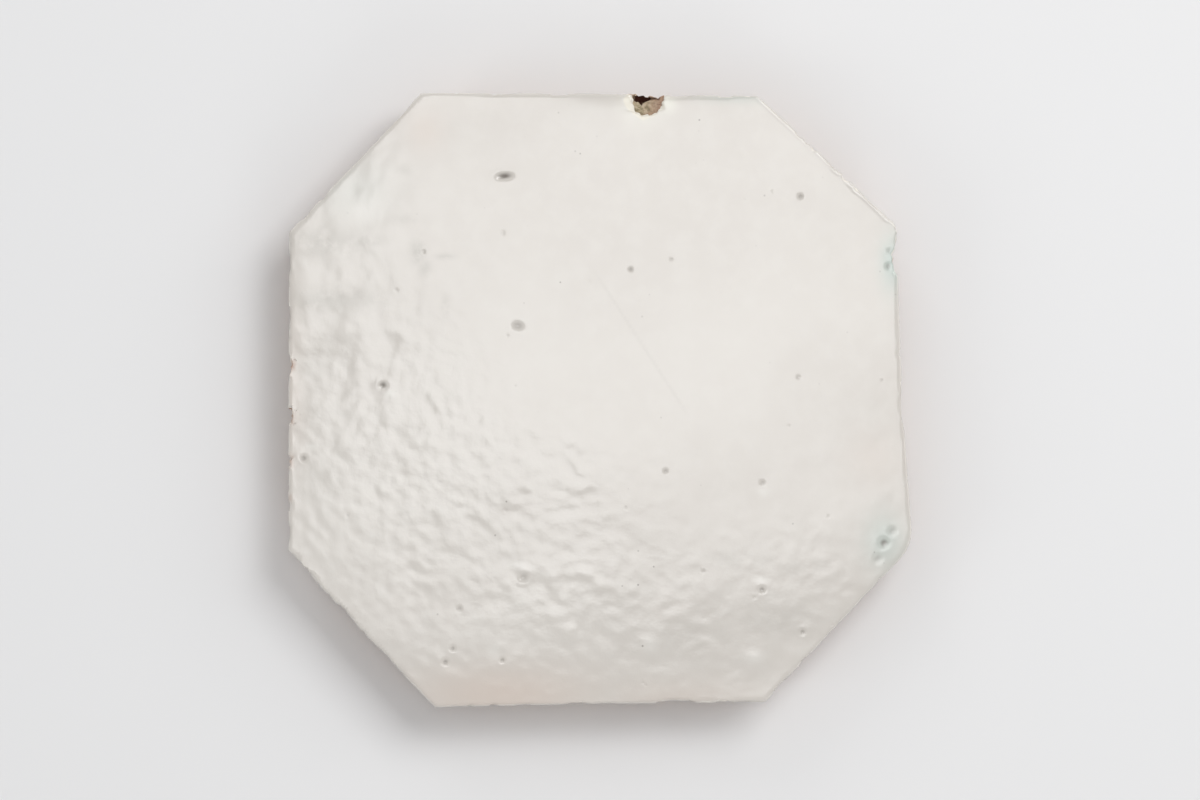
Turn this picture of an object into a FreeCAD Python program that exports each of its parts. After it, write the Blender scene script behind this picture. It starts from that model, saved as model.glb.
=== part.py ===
import FreeCAD
import Part

import math
import os
import random

# Octagon tile: a fired clay tile with a thick glaze on its face, cut by hand from a square blank.
# Millimetres, +Z up. The bed face lies on Z = 0, and the origin is under the middle of the tile's box.
# The four long sides face +Y (back), +X (right), -Y (front) and -X (left).
# The four short sides are the struck-off corners, and are named after the corner that they cut off.

# The square blank, and how far each of its corners lies inside its box, along X and along Y
BLANK_WIDTH = 103.5
BLANK_DEPTH = 101.1
THICKNESS = 11.0
BACK_LEFT_INSET = (0.25, 0.0)
BACK_RIGHT_INSET = (5.0, 1.05)
FRONT_RIGHT_INSET = (0.0, 1.4)
FRONT_LEFT_INSET = (0.0, 0.0)

# The struck-off corners: the leg along the back or front side, then the leg along the left or right side
BACK_LEFT_CUT = (21.5, 23.0)
BACK_RIGHT_CUT = (21.9, 21.2)
FRONT_RIGHT_CUT = (25.5, 25.5)
FRONT_LEFT_CUT = (24.0, 25.8)

# How far the middle of each side stands out of its straight line; a minus sign is a hollow side
BACK_BOW = 0.12
BACK_RIGHT_BOW = 0.10
RIGHT_BOW = -0.50
FRONT_RIGHT_BOW = -0.10
FRONT_BOW = -0.15
FRONT_LEFT_BOW = 0.15
LEFT_BOW = 0.12
BACK_LEFT_BOW = -0.12

# The sides slope in towards the bed, so that the glazed edges of two laid tiles can touch
BED_INSET = 1.3
LIP_RADIUS = 0.45
CORNER_RADIUS = 0.9
# The corner between the right side and the front right one is worn rounder than the others
WORN_CORNER_RADIUS = 8.0

# Slow waves of the glazed face: height, wave length, direction in degrees and phase in degrees
FACE_WAVES = (
    (0.16, 92.0, 131.0, 73.0),
    (0.11, 61.0, 107.0, 225.0),
    (0.06, 37.0, 106.0, 102.0),
)
WAVE_GRID_STEP = 8.0

# Flakes that the trimming hammer struck off the sides, from below the glazed lip down to the bed
FLAKE_PITCH = 9.4
FLAKE_RADIUS = 13.0
FLAKE_DEPTH = 1.3
FLAKE_LIP_HEIGHT = 2.8
FLAKE_SPREAD = 0.35
FLAKE_SEED = 11

# The chip in the back side: a shell-shaped scoop through the glaze, and a deeper three-sided notch
# in its middle, which narrows from the face to a small floor that hides the ground from above
CHIP_ALONG = 58.7
CHIP_WIDTH = 5.5
CHIP_DEPTH = 1.7
CHIP_SETBACK = 0.9
NOTCH_OFFSET = 0.6
NOTCH_WIDTH = 4.5
NOTCH_REACH = 2.4
NOTCH_DEPTH = 2.15
NOTCH_FLOOR_WIDTH = 2.7
NOTCH_FLOOR_REACH = 1.4

# Small bites out of the glazed lip: the side, distance along it clockwise, width and reach into the tile
LIP_BITES = (
    ("back", 12.0, 2.6, 0.4),
    ("right", 5.4, 5.6, 1.0),
    ("front", 6.6, 4.0, 0.5),
    ("front", 15.0, 6.0, 0.6),
    ("left", 7.5, 2.4, 0.4),
    ("left", 22.2, 3.4, 0.8),
    ("left", 30.8, 3.0, 0.5),
)

# Dents in the glaze: X and Y from the middle of the blank, length, width, depth and turn in degrees
DENTS = (
    (-16.4, 36.6, 3.2, 1.4, 0.45, 4.0),
    (-14.3, 12.3, 2.4, 1.6, 0.28, -12.0),
    (-36.2, 2.5, 1.5, 1.4, 0.40, 0.0),
    (-13.3, -28.8, 2.0, 1.8, 0.30, 35.0),
)

# How far a cutter stands clear of the surface that it cuts through
CUT_CLEARANCE = 1.0


def blank_corners():
    """The corners of the uncut blank: back left, back right, front right and front left."""
    half_width = BLANK_WIDTH / 2
    half_depth = BLANK_DEPTH / 2
    placed = (
        (-1, 1, BACK_LEFT_INSET),
        (1, 1, BACK_RIGHT_INSET),
        (1, -1, FRONT_RIGHT_INSET),
        (-1, -1, FRONT_LEFT_INSET),
    )
    return [
        FreeCAD.Vector(x_sign * (half_width - inset[0]), y_sign * (half_depth - inset[1]), 0)
        for x_sign, y_sign, inset in placed
    ]


def from_corner(corner, towards, distance):
    """The point at a distance from one corner of the blank towards another."""
    return corner + (towards - corner).normalize() * distance


def octagon_points():
    """The eight corners of the glazed face, clockwise from the left end of the back side."""
    back_left, back_right, front_right, front_left = blank_corners()
    return [
        from_corner(back_left, back_right, BACK_LEFT_CUT[0]),
        from_corner(back_right, back_left, BACK_RIGHT_CUT[0]),
        from_corner(back_right, front_right, BACK_RIGHT_CUT[1]),
        from_corner(front_right, back_right, FRONT_RIGHT_CUT[1]),
        from_corner(front_right, front_left, FRONT_RIGHT_CUT[0]),
        from_corner(front_left, front_right, FRONT_LEFT_CUT[0]),
        from_corner(front_left, back_left, FRONT_LEFT_CUT[1]),
        from_corner(back_left, front_left, BACK_LEFT_CUT[1]),
    ]


class Side:
    """One of the eight sides at the level of the face, clockwise from its start to its end."""

    def __init__(self, start, end, bow, start_radius):
        self.start = start
        self.bow = bow
        self.start_radius = start_radius
        self.length = start.distanceToPoint(end)
        self.tangent = (end - start).normalize()
        self.outward = FreeCAD.Vector(-self.tangent.y, self.tangent.x, 0)

    def point(self, along, outwards=0.0):
        """A point of the bowed side in plan, at a distance along it and moved outwards."""
        share = 2 * along / self.length - 1
        bulge = self.bow * (1 - share * share)
        return self.start + self.tangent * along + self.outward * (bulge + outwards)


def tile_sides():
    """The eight sides by name, clockwise from the back side."""
    shapes = {
        "back": (BACK_BOW, CORNER_RADIUS),
        "back_right": (BACK_RIGHT_BOW, CORNER_RADIUS),
        "right": (RIGHT_BOW, CORNER_RADIUS),
        "front_right": (FRONT_RIGHT_BOW, WORN_CORNER_RADIUS),
        "front": (FRONT_BOW, CORNER_RADIUS),
        "front_left": (FRONT_LEFT_BOW, CORNER_RADIUS),
        "left": (LEFT_BOW, CORNER_RADIUS),
        "back_left": (BACK_LEFT_BOW, CORNER_RADIUS),
    }
    points = octagon_points()
    return {
        name: Side(start, end, bow, radius)
        for (name, (bow, radius)), start, end in zip(shapes.items(), points, turned(points))
    }


def turned(items):
    """The same items with each moved one place forward, so that zip pairs each with its next one."""
    return items[1:] + items[:1]


def soft_corner(curve, end, next_curve, next_start):
    """A smooth bend from a parameter near the end of one curve to one near the start of the next."""
    leave = curve.value(end)
    meet = next_curve.value(next_start)
    out = curve.tangent(end)[0]
    onward = next_curve.tangent(next_start)[0]
    run = (meet - leave).cross(onward).z / out.cross(onward).z
    bend = Part.BezierCurve()
    bend.setPoles([leave, leave + out * run, meet])
    return bend.toShape()


def outline(inset, height):
    """The octagon's wire at a height, with every side moved inwards by the same distance."""
    sides = list(tile_sides().values())
    corners = []
    trims = []
    for before, after in zip(sides[-1:] + sides[:-1], sides):
        bisector = (before.outward + after.outward).normalize()
        reach = inset / bisector.dot(after.outward)
        corners.append(after.start - bisector * reach + FreeCAD.Vector(0, 0, height))
        trims.append(after.start_radius * math.tan(before.tangent.getAngle(after.tangent) / 2))
    curves = []
    for side, start, end, trim, end_trim in zip(sides, corners, turned(corners), trims, turned(trims)):
        middle = (start + end) / 2 + side.outward * side.bow
        curve = Part.Arc(start, middle, end) if side.bow else Part.LineSegment(start, end)
        low = curve.parameterAtDistance(trim, curve.FirstParameter)
        high = curve.parameterAtDistance(-end_trim, curve.LastParameter)
        curves.append((curve, low, high))
    edges = []
    for (curve, low, high), (next_curve, next_low, _) in zip(curves, turned(curves)):
        edges.append(curve.toShape(low, high))
        edges.append(soft_corner(curve, high, next_curve, next_low))
    return Part.Wire(edges)


def face_relief():
    """The most that the waves of the face can add up to."""
    return sum(wave[0] for wave in FACE_WAVES)


def wave_height(x, y):
    """Height of the glazed face above its mean level."""
    height = 0.0
    for rise, length, direction, phase in FACE_WAVES:
        turn = math.radians(direction)
        travel = x * math.cos(turn) + y * math.sin(turn)
        height += rise * math.sin(2 * math.pi * travel / length + math.radians(phase))
    return height


def on_face(spot):
    """The point of the glazed face above a point of the plan."""
    return FreeCAD.Vector(spot.x, spot.y, THICKNESS + wave_height(spot.x, spot.y))


def tapered_block():
    """The body before its face is shaped, standing a little higher than the face."""
    top = THICKNESS + face_relief() + CUT_CLEARANCE
    slope = BED_INSET / THICKNESS
    return Part.makeLoft([outline(BED_INSET, 0), outline(BED_INSET - slope * top, top)], True, True)


def space_above_face():
    """Everything above the waved face, as a solid to cut away."""
    reach = max(BLANK_WIDTH, BLANK_DEPTH) / 2 + CUT_CLEARANCE
    spans = 2 * math.ceil(reach / WAVE_GRID_STEP)
    stations = [reach * (2 * i / spans - 1) for i in range(spans + 1)]
    surface = Part.BSplineSurface()
    surface.interpolate([[on_face(FreeCAD.Vector(x, y, 0)) for y in stations] for x in stations])
    return surface.toShape().extrude(FreeCAD.Vector(0, 0, 2 * (face_relief() + CUT_CLEARANCE)))


def round_lip(tile):
    """The soft edge of the glaze all round the face."""
    rim = [edge for edge in tile.Edges if edge.BoundBox.ZMin > THICKNESS / 2]
    return tile.makeFillet(LIP_RADIUS, rim)


def flake_cutters():
    """Leaning cylinders, one for each flake, that start under the lip and bite deepest at the bed."""
    hammer = random.Random(FLAKE_SEED)
    slope = BED_INSET / THICKNESS
    cutters = []
    for side in tile_sides().values():
        count = max(1, round(side.length / FLAKE_PITCH))
        for i in range(count):
            depth = FLAKE_DEPTH * (1 + FLAKE_SPREAD * hammer.uniform(-1, 1))
            radius = FLAKE_RADIUS * (1 + FLAKE_SPREAD * hammer.uniform(-1, 1))
            start = FLAKE_LIP_HEIGHT * (1 + FLAKE_SPREAD * hammer.uniform(-1, 1))
            along = side.length * (i + (1 + FLAKE_SPREAD * hammer.uniform(-1, 1)) / 2) / count
            rise = THICKNESS - start
            top = side.point(along, radius - slope * start) + FreeCAD.Vector(0, 0, rise)
            axis = (side.outward * (depth + slope * rise) + FreeCAD.Vector(0, 0, rise)).normalize()
            foot = top - axis * (rise + radius)
            cutters.append(Part.makeCylinder(radius, 2 * (rise + radius), foot, axis))
    return cutters


def notch_section(side, along, depth):
    """The notch's triangle at a depth below the face, run on past the side line."""
    share = depth / NOTCH_DEPTH
    width = NOTCH_WIDTH + (NOTCH_FLOOR_WIDTH - NOTCH_WIDTH) * share
    reach = NOTCH_REACH + (NOTCH_FLOOR_REACH - NOTCH_REACH) * share
    brim = on_face(side.point(along)) - FreeCAD.Vector(0, 0, depth)
    tip = brim - side.outward * reach
    corners = [tip]
    for half in (-width / 2, width / 2):
        slant = side.outward * reach + side.tangent * half
        corners.append(tip + slant * (1 + CUT_CLEARANCE / reach))
    return Part.makePolygon(corners + corners[:1])


def chip_cutters():
    """The shell-shaped chip in the lip of the back side, and the three-sided notch in its middle."""
    back = tile_sides()["back"]
    along = CHIP_ALONG - BACK_LEFT_INSET[0] - BACK_LEFT_CUT[0]
    radius = ((CHIP_WIDTH / 2) ** 2 + CHIP_DEPTH**2) / (2 * CHIP_DEPTH)
    middle = on_face(back.point(along, -CHIP_SETBACK))
    shell = Part.makeSphere(radius, middle + FreeCAD.Vector(0, 0, radius - CHIP_DEPTH))
    sections = [notch_section(back, along - NOTCH_OFFSET, depth) for depth in (NOTCH_DEPTH, -CUT_CLEARANCE)]
    return [shell, Part.makeLoft(sections, True, True)]


def bite_cutters():
    """Balls that nibble the glazed lip, one for each bite."""
    sides = tile_sides()
    cutters = []
    for name, along, width, reach in LIP_BITES:
        radius = ((width / 2) ** 2 + reach**2) / (2 * reach)
        cutters.append(Part.makeSphere(radius, on_face(sides[name].point(along, radius - reach))))
    return cutters


def dent_cutters():
    """Long and round hollows in the glaze, each a ball stretched to its length, width and depth."""
    cutters = []
    for x, y, length, width, depth, turn in DENTS:
        stretch = FreeCAD.Matrix()
        stretch.scale(length / 2, width / 2, depth)
        hollow = Part.makeSphere(1.0).transformGeometry(stretch)
        hollow.rotate(FreeCAD.Vector(0, 0, 0), FreeCAD.Vector(0, 0, 1), turn)
        hollow.translate(on_face(FreeCAD.Vector(x, y, 0)))
        cutters.append(hollow)
    return cutters


def octagon_tile():
    """The whole tile as one solid, with its bed on Z = 0 and its box centred on the origin."""
    tile = round_lip(tapered_block().cut(space_above_face()))
    tile = tile.cut(flake_cutters() + chip_cutters() + bite_cutters() + dent_cutters())
    box = tile.optimalBoundingBox()
    tile.translate(FreeCAD.Vector(-box.Center.x, -box.Center.y, -box.ZMin))
    return tile.Solids[0]


os.makedirs("parts", exist_ok=True)
solid = octagon_tile()
solid.exportStep("parts/octagon_tile.step")
size = solid.optimalBoundingBox()
print("size", round(size.XLength, 2), round(size.YLength, 2), round(size.ZLength, 2))
print("volume", round(solid.Volume), "faces", len(solid.Faces), "valid", solid.isValid())
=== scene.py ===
import math
import random

import bmesh
import bpy
import numpy as np
from bpy.props import FloatProperty, FloatVectorProperty, IntProperty, PointerProperty
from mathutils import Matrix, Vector, noise


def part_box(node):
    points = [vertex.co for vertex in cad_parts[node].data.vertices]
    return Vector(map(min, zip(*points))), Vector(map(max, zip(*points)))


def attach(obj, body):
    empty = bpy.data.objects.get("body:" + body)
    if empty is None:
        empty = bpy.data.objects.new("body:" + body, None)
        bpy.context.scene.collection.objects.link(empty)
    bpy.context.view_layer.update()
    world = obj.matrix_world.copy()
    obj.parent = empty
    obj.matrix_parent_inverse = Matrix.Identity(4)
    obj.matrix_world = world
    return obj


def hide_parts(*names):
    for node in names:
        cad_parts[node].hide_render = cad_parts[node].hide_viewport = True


bl_info = {
    "name": "Octagon Tile",
    "version": (1, 0, 0),
    "blender": (4, 5, 0),
    "location": "View3D > Sidebar > Tile",
    "description": "Dresses a hand-cut glazed octagon tile and sets a plain studio round it",
    "category": "Object",
}

MM = 0.001
NODE = "octagon_tile"

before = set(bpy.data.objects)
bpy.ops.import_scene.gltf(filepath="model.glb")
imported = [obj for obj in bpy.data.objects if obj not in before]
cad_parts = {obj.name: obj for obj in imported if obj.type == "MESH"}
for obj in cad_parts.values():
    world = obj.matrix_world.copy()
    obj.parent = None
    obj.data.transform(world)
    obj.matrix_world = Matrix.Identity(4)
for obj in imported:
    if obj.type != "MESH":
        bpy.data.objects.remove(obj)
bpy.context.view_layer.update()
TILE_LOW, TILE_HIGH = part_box(NODE)

# Pits in the glaze, in millimetres on the face: X, Y, radius, depth and how dark the middle is
PITS = (
    (-15.9, 27.2, 0.7, 0.03, 0.12),
    (-48.3, -9.5, 0.8, 0.12, 0.55),
    (-22.9, -34.0, 0.6, 0.08, 0.35),
    (-24.0, -40.5, 0.6, 0.10, 0.50),
    (-25.2, -42.7, 0.7, 0.10, 0.55),
    (-15.9, -42.4, 0.6, 0.09, 0.55),
    (5.0, 21.3, 0.55, 0.09, 0.50),
    (32.7, 33.2, 0.65, 0.09, 0.55),
    (32.4, 3.7, 0.5, 0.05, 0.20),
    (10.7, -11.6, 0.55, 0.07, 0.40),
    (26.5, -13.5, 0.6, 0.06, 0.28),
    (26.4, -30.9, 0.75, 0.11, 0.55),
    (33.0, -37.8, 0.65, 0.09, 0.50),
    (46.3, -23.3, 1.15, 0.09, 0.70),
    (47.7, -21.4, 1.0, 0.04, 0.28),
    (45.3, -25.9, 1.1, 0.04, 0.22),
    (47.0, 21.8, 0.75, 0.05, 0.45),
    (47.2, 24.3, 0.6, 0.03, 0.20),
)

# Soft dents, each where the CAD has one: X, Y, half length, half width, turn in degrees, depth, and the
# darkness of the painted shade in it
DENTS = (
    (-15.6, 36.5, 1.85, 0.80, 4.0, 0.28, 1.0),
    (-13.4, 12.1, 1.35, 0.95, -12.0, 0.12, 0.40),
    (-35.4, 2.4, 0.95, 0.85, 0.0, 0.30, 0.85),
    (-12.5, -28.9, 1.10, 0.95, 35.0, 0.20, 0.30),
)

# A faint scratch, from one end to the other
SCRATCH = ((-2.1, 22.8), (15.6, -4.4))

# Low swellings of the glaze: X, Y, radius and height
SWELLINGS = (
    (8.1, -40.0, 1.9, 0.05),
    (25.2, -42.1, 1.7, 0.045),
    (-38.6, 31.5, 2.6, 0.05),
    (-27.0, -6.5, 2.4, 0.04),
    (-6.0, -37.0, 2.0, 0.03),
    (18.0, -31.0, 2.4, 0.035),
)

# Where the glaze is broken away: X, Y, radius and strength; the first is the chip in the back side
BREAKS = (
    (7.3, 49.1, 3.1, 1.0),
    (49.5, 25.5, 3.2, 0.7),
    (-50.4, 5.6, 1.3, 1.0),
    (-50.2, -2.6, 1.3, 1.0),
    (-50.4, -9.9, 1.1, 0.9),
    (-48.0, -27.0, 0.9, 0.8),
    (20.4, -49.4, 1.2, 0.7),
    (40.0, 36.2, 0.8, 0.8),
    (34.6, 41.2, 0.7, 0.7),
)
CHIP_X, CHIP_Y, CHIP_RADIUS = BREAKS[0][:3]

# Tints in the glaze, and painted glints, in millimetres: X, Y, radius along X and Y, and strength
TINTS = {
    "teal": (
        (47.6, 22.4, 2.0, 4.5, 1.0),
        (46.4, -23.0, 3.2, 4.5, 0.7),
        (-40.0, 34.0, 6.0, 5.0, 0.22),
        (22.0, 49.5, 6.0, 1.2, 0.45),
    ),
    "blush": (
        (-28.5, 44.0, 3.0, 3.5, 0.45),
        (-16.0, -48.0, 14.0, 4.5, 0.8),
        (12.0, -48.5, 12.0, 3.0, 0.35),
        (44.5, -9.5, 4.0, 4.0, 0.3),
        (-50.0, 2.0, 2.0, 14.0, 0.3),
    ),
    "cream": (
        (7.0, 48.6, 3.9, 3.9, 0.45),
        (11.0, 48.4, 1.6, 1.6, 0.6),
    ),
    # Painted glints: whitish painted highlights at the rims of pits and dents and on the glaze's swellings
    "milk": (
        (8.1, -40.0, 1.5, 1.1, 0.6),
        (25.2, -42.1, 1.6, 1.0, 0.5),
        (-38.6, 31.5, 2.2, 2.6, 0.5),
        (-47.0, -7.6, 1.3, 0.5, 0.6),
        (-34.4, 1.0, 0.9, 0.7, 0.7),
        (-13.2, -27.0, 1.4, 0.7, 0.6),
        (-17.2, -41.0, 1.1, 1.1, 0.5),
        (26.2, -29.3, 1.1, 0.6, 0.5),
        (27.7, -32.0, 0.8, 0.6, 0.4),
        (26.6, -15.0, 0.9, 0.7, 0.4),
    ),
    "smudge": (
        (-45.0, 25.8, 6.5, 2.2, 0.95),
        (-43.5, 16.4, 6.0, 2.0, 0.95),
        (-29.7, 24.0, 1.2, 1.8, 1.30),
        (-28.6, 21.6, 1.1, 1.5, 0.90),
        (-25.4, 23.4, 1.6, 0.5, 0.80),
        (-37.9, 26.0, 2.6, 1.0, 0.90),
        (-37.0, 16.6, 1.3, 1.0, 0.80),
        (-31.9, 37.6, 1.2, 0.9, 0.60),
        (-31.8, 29.4, 2.4, 0.8, 0.45),
        (-25.2, 15.0, 0.7, 1.6, 0.60),
        (-47.5, 6.0, 3.5, 2.6, 0.35),
        (-46.0, -13.0, 4.0, 3.0, 0.30),
        (22.0, -26.0, 7.0, 1.6, 0.35),
        (34.0, -27.5, 6.5, 1.1, 0.30),
        (30.0, -36.0, 9.0, 2.6, 0.40),
        (15.0, -38.5, 8.0, 3.5, 0.30),
        (2.0, -33.0, 6.0, 3.0, 0.25),
    ),
    "worn": (
        (-50.5, 5.4, 0.55, 0.9, 1.0),
        (-50.4, -2.9, 0.5, 0.8, 0.9),
        (-50.4, -9.9, 0.45, 0.9, 0.6),
        (-50.6, -16.0, 0.4, 0.6, 0.4),
    ),
    "olive": ((6.0, 47.6, 2.6, 2.4, 1.0),),
}

# The notch in the chip, whose walls get painted shade: X and Y of its middle at the side, half its width
# there, and its reach
NOTCH = (6.85, 50.1, 1.9, 2.1)

# Where the ripples are stronger than the arc makes them, and where soft ones lie beyond it, as for the tints
STRONG_RIPPLES = ((-30.0, -6.0, 15.0, 13.0, 0.45),)
SOFT_RIPPLES = ((31.0, -27.0, 12.0, 6.5, 0.28),)

# How far the ripples' arc reaches inwards and outwards from its middle line, in millimetres, and stays full
ARC_INWARD = 30.0
FULL_INWARD = 6.0
ARC_OUTWARD = 30.0
FULL_OUTWARD = 8.0
# Where the ripples fade to the right and upwards, in millimetres, and the shares that are lost
FADE_RIGHT = (-6.0, 26.0)
FADE_UP = (0.0, 24.0)
LOST_RIGHT = 0.52
LOST_UP = 0.6
LOST_OUTWARD = 0.6
# Between these heights on the face they come to fade earlier to the right and to lose more
INNER_RISE = (-34.0, -20.0)
INNER_EARLIER = 9.0
INNER_LOST = 0.34
# What there is of them on the rest of the face
ELSEWHERE = 0.10

# Where the dappled swells of the upper left grow from none to full, along X and Y
DAPPLED_X = (-24.0, -44.0)
DAPPLED_Y = (-14.0, 12.0)

# The ripples' finer and finer waves: how many times finer, and their share of the height
RIPPLE_OCTAVES = ((0.5, 0.75), (1.0, 0.85), (1.9, 0.50), (3.7, 0.14))

# Reach of the random pinholes as a share of the tile's, and ranges of their radius, depth and darkness
PINHOLE_REACH = 0.93
PINHOLE_RADIUS = (0.25, 0.45)
PINHOLE_DEPTH = (0.02, 0.05)
PINHOLE_DARKNESS = (0.05, 0.25)

# Depth of the scratch in millimetres, its darkness, and the height of a pit's rim as a share of its depth
SCRATCH_DEPTH = 0.006
SCRATCH_DARKNESS = 0.05
RIM_HEIGHT = 0.05

# How far down from the top the face's form and the lip reach, in millimetres
UPPER_DEPTH = 3.0
# Shallower points belong to the flat of the face, and nicks in the lip end at the deeper value
FLAT_DEPTH = 0.02
NICKS_END = 2.0
# Depths below the fitted form that are laid flat on it and, from the second value, kept
LAID_FLAT = (0.015, 0.06)
# The tints fade out on the sides between these depths
TINTS_END = (3.4, 2.2)
# One in so many of the face's points is fitted, and points further off the fit are left out, in millimetres
FIT_STEP = 6
FIT_OUTLIER = 0.04

# The clay's lumps: how fast their finer waves fade, how many times finer each is, and how many there are
CLAY_WAVES = (0.8, 2.1, 4)
# The clay's pores: how much they crowd, the small ones' size and rarity, and at which noise they open
PORE_CROWDING = 0.30
SMALL_PORE = 0.55
SMALL_RARER = 0.06
PORE_RISE = (0.36, 0.54)
# How much calmer the clay is in the chip
CALMER_IN_CHIP = 0.75


def smooth_step(low, high, value):
    """0 below low, 1 above high and a soft rise between, for numbers and arrays."""
    share = np.clip((value - low) / (high - low), 0.0, 1.0)
    return share * share * (3.0 - 2.0 * share)


def vertex_rows(mesh, name):
    """The places (co) or the normals (normal) of the mesh's vertices, one row for each vertex."""
    values = np.zeros(len(mesh.vertices) * 3)
    mesh.vertices.foreach_get(name, values)
    return values.reshape(-1, 3)


class FaceForm:
    """The slow form of the glazed face, fitted through the CAD facets so that no facet shows in the gloss."""

    def __init__(self, x, y, z, degree, outlier):
        self.degree = [degree, degree]
        self.reach = max(np.abs(x).max(), np.abs(y).max())
        table = self.table(x, y)
        self.weights = np.linalg.lstsq(table, z, rcond=None)[0]
        near = np.abs(table @ self.weights - z) < outlier
        self.weights = np.linalg.lstsq(table[near], z[near], rcond=None)[0]

    def table(self, x, y):
        """The fit's terms at the given places."""
        return np.polynomial.chebyshev.chebvander2d(x / self.reach, y / self.reach, self.degree)

    def height(self, x, y):
        """Height of the face above the bed, in millimetres."""
        return self.table(x, y) @ self.weights


def merged_copy(node):
    """A copy of a CAD node's mesh with its loose triangles joined."""
    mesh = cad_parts[node].data.copy()
    shape = bmesh.new()
    shape.from_mesh(mesh)
    bmesh.ops.remove_doubles(shape, verts=shape.verts, dist=0.001 * MM)
    shape.to_mesh(mesh)
    shape.free()
    mesh.materials.clear()
    return mesh


def apply_modifiers(piece):
    """Swaps the piece's mesh for the one that its modifiers make, and removes them."""
    graph = bpy.context.evaluated_depsgraph_get()
    mesh = bpy.data.meshes.new_from_object(piece.evaluated_get(graph))
    piece.modifiers.clear()
    piece.data = mesh


def remeshed(name, mesh, voxel):
    """An object with an even mesh of that voxel size, in metres, round the given one."""
    piece = bpy.data.objects.new(name, mesh)
    bpy.context.scene.collection.objects.link(piece)
    grid = piece.modifiers.new("Even mesh", "REMESH")
    grid.mode = "VOXEL"
    grid.voxel_size = voxel
    apply_modifiers(piece)
    return piece


def refine(mesh, circles):
    """Divides the faces of the upper half that lie in the given circles of the plan: X, Y and radius."""
    shape = bmesh.new()
    shape.from_mesh(mesh)
    low = TILE_HIGH.z / 2
    ends = [(edge.verts[0].co + edge.verts[1].co) / 2 for edge in shape.edges]
    middles = np.array([(end.x, end.y, end.z) for end in ends])
    chosen = np.zeros(len(middles), dtype=bool)
    for x, y, radius in circles:
        away = np.hypot(middles[:, 0] / MM - x, middles[:, 1] / MM - y)
        chosen |= (away < radius) & (middles[:, 2] > low)
    shape.edges.ensure_lookup_table()
    edges = [shape.edges[i] for i in np.flatnonzero(chosen)]
    bmesh.ops.subdivide_edges(shape, edges=edges, cuts=1, use_grid_fill=True)
    shape.to_mesh(mesh)
    shape.free()


def snapped(piece, target_mesh):
    """Moves the piece's vertices to the nearest points of the CAD surface, which brings its edges back."""
    target = bpy.data.objects.new("snap_target", target_mesh)
    bpy.context.scene.collection.objects.link(target)
    snap = piece.modifiers.new("Snap", "SHRINKWRAP")
    snap.wrap_method = "NEAREST_SURFACEPOINT"
    snap.wrap_mode = "ON_SURFACE"
    snap.target = target
    apply_modifiers(piece)
    bpy.data.objects.remove(target)


def all_pits(look):
    """The larger pits, and small pinholes strewn all over the face, always in the same places."""
    draw = random.Random(look.pinhole_seed)
    reach = TILE_HIGH.x / MM * PINHOLE_REACH
    return list(PITS) + [
        (
            draw.uniform(-reach, reach),
            draw.uniform(-reach, reach),
            draw.uniform(*PINHOLE_RADIUS),
            draw.uniform(*PINHOLE_DEPTH),
            draw.uniform(*PINHOLE_DARKNESS),
        )
        for _ in range(look.pinhole_count)
    ]


def ripple_place(look, x, y):
    """The place on the face as arc length round the ripples' middle and distance from it."""
    from_x = x - look.ripple_x
    from_y = y - look.ripple_y
    return np.arctan2(from_y, from_x) * look.ripple_reach, np.hypot(from_x, from_y)


def ripple_share(look, x, y):
    """How strongly the glaze is rippled: most in a broad arc through the lower left, little elsewhere."""
    _, away = ripple_place(look, x, y)
    rise = smooth_step(look.ripple_reach - ARC_INWARD, look.ripple_reach - FULL_INWARD, away)
    fall = smooth_step(look.ripple_reach + FULL_OUTWARD, look.ripple_reach + ARC_OUTWARD, away)
    inner = smooth_step(*INNER_RISE, y)
    right_from, right_to = FADE_RIGHT
    lost = LOST_RIGHT + INNER_LOST * inner
    calm = 1.0 - lost * smooth_step(right_from, right_to - INNER_EARLIER * inner, x)
    calm *= 1.0 - LOST_UP * smooth_step(*FADE_UP, y)
    arc = rise * (1.0 - LOST_OUTWARD * fall) * calm * (1.0 + patch(x, y, STRONG_RIPPLES))
    return ELSEWHERE + (1.0 - ELSEWHERE) * arc + patch(x, y, SOFT_RIPPLES)


def face_noise(spot, length, layer=0.0):
    """Soft noise of that length on the face; each layer of it is a pattern of its own."""
    return noise.noise(spot / length + Vector((0.0, 0.0, layer)))


def face_relief(look, x, y):
    """Fine relief of the glaze, in millimetres above its slow form."""
    share = ripple_share(look, x, y)
    round_way, out = ripple_place(look, x, y)
    dappled = look.dapple_height * smooth_step(*DAPPLED_X, x) * smooth_step(*DAPPLED_Y, y)
    heights = np.zeros(len(x))
    for i in range(len(x)):
        spot = Vector((x[i], y[i], 0.0))
        pillow = face_noise(spot, look.pillow_length, 3.1)
        dapple = face_noise(spot, look.dapple_length, 5.9)
        peel = face_noise(spot, look.peel_length, 1.3)
        aside = face_noise(spot, look.bend_length, 9.2)
        onward = face_noise(spot, look.bend_length, 4.6)
        bend = Vector((aside, onward, 0.0)) * look.bend
        place = Vector((round_way[i] / look.ripple_length, out[i] / look.ripple_width, 7.7)) + bend
        busy = max(0.25, 0.8 + 1.3 * face_noise(spot, look.patch_length))
        streak = sum(share_of * noise.noise(place * finer) for finer, share_of in RIPPLE_OCTAVES)
        heights[i] = look.pillow_height * pillow + dappled[i] * dapple
        heights[i] += share[i] * (busy * look.ripple_height * streak + look.peel_height * peel)
    for swell_x, swell_y, radius, height in SWELLINGS:
        near = np.hypot(x - swell_x, y - swell_y) / radius
        heights += height * np.exp(-near * near)
    return heights


def hollow(near, power, rim_at, rim_width):
    """A hollow with a low rim, as a share of its depth, by the distance as a share of its radius."""
    bowl = np.clip(1.0 - near * near, 0.0, 1.0) ** power
    rim = np.exp(-(((near - rim_at) / rim_width) ** 2))
    return bowl - RIM_HEIGHT * rim


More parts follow.
